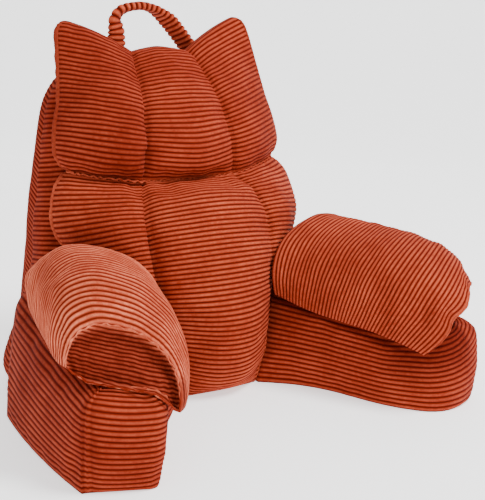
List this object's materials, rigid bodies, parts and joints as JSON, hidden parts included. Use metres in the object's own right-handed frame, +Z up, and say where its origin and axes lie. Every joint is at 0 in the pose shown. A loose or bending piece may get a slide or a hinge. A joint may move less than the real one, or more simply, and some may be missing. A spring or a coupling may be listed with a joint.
{
  "type": "reading pillow with arms",
  "caption": "Reading pillow with a leaning filled back, channelled headrest and lumbar cushions, splayed arm bolsters with saddle pads, and a ribbed carry strap.",
  "frame": {"origin": "on the resting surface, at the middle of the footprint", "axes": "+Z up; +X to the right of a person looking at the front; +Y towards the back of the pillow, so the sitter faces -Y"},
  "size_m": [0.7664, 0.5886, 0.6282],
  "materials": {
    "back_body_cloth": "wide-wale corduroy, matt with a soft pile sheen",
    "headrest_cushion_cloth": "wide-wale corduroy, matt with a soft pile sheen",
    "lumbar_cushion_cloth": "wide-wale corduroy, matt with a soft pile sheen",
    "arm_base_left_cloth": "wide-wale corduroy, matt with a soft pile sheen",
    "arm_base_right_cloth": "wide-wale corduroy, matt with a soft pile sheen",
    "arm_pad_left_cloth": "wide-wale corduroy, matt with a soft pile sheen",
    "arm_pad_right_cloth": "wide-wale corduroy, matt with a soft pile sheen",
    "carry_handle_cloth": "wide-wale corduroy, matt with a soft pile sheen"
  },
  "bodies": {
    "root": {"back_body": "back_body_cloth", "headrest_cushion": "headrest_cushion_cloth", "lumbar_cushion": "lumbar_cushion_cloth", "arm_base_left": "arm_base_left_cloth", "arm_base_right": "arm_base_right_cloth", "arm_pad_left": "arm_pad_left_cloth", "arm_pad_right": "arm_pad_right_cloth", "carry_handle": "carry_handle_cloth"}
  },
  "joints": []
}
